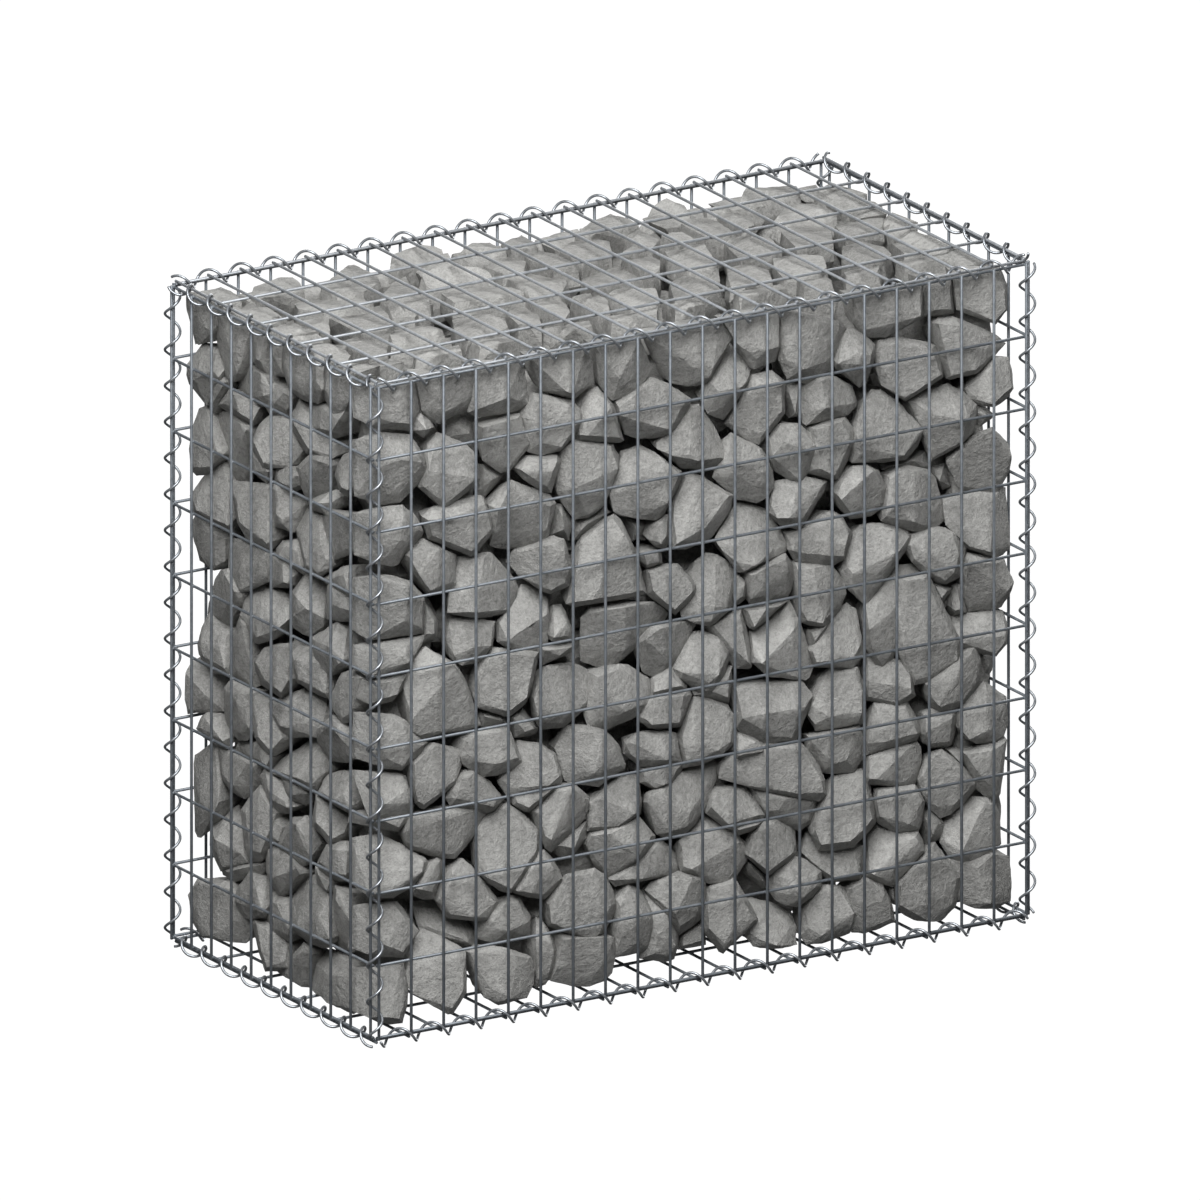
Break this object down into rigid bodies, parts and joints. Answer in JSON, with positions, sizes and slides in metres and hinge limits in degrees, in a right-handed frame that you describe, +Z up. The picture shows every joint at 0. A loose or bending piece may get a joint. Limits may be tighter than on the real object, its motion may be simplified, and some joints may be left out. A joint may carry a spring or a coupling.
{
  "type": "gabion wall",
  "caption": "Upright box-shaped retaining basket of welded steel mesh, laced shut along every edge with spiral binders and packed with broken stone.",
  "frame": {"origin": "middle of the unit's footprint, at the level of the lowest coils of the bottom spirals, where it stands on the ground", "axes": "+X along the wall, +Y from the front face to the back face, +Z up"},
  "size_m": [1.032, 0.532, 0.93],
  "materials": {
    "galvanised_mesh": "zinc-coated wire, satin",
    "galvanised_spiral": "zinc-coated wire, bright",
    "stone": "rough broken stone, matte"
  },
  "bodies": {
    "root": {"front_mesh_panel": "galvanised_mesh", "back_mesh_panel": "galvanised_mesh", "left_mesh_panel": "galvanised_mesh", "right_mesh_panel": "galvanised_mesh", "base_mesh_panel": "galvanised_mesh", "lid_mesh_panel": "galvanised_mesh", "spiral_top_front": "galvanised_spiral", "spiral_top_back": "galvanised_spiral", "spiral_top_left": "galvanised_spiral", "spiral_top_right": "galvanised_spiral", "spiral_bottom_front": "galvanised_spiral", "spiral_bottom_back": "galvanised_spiral", "spiral_bottom_left": "galvanised_spiral", "spiral_bottom_right": "galvanised_spiral", "spiral_corner_front_left": "galvanised_spiral", "spiral_corner_front_right": "galvanised_spiral", "spiral_corner_back_left": "galvanised_spiral", "spiral_corner_back_right": "galvanised_spiral", "stone_fill_lower": "stone", "stone_fill_middle": "stone", "stone_fill_upper": "stone"}
  },
  "joints": []
}
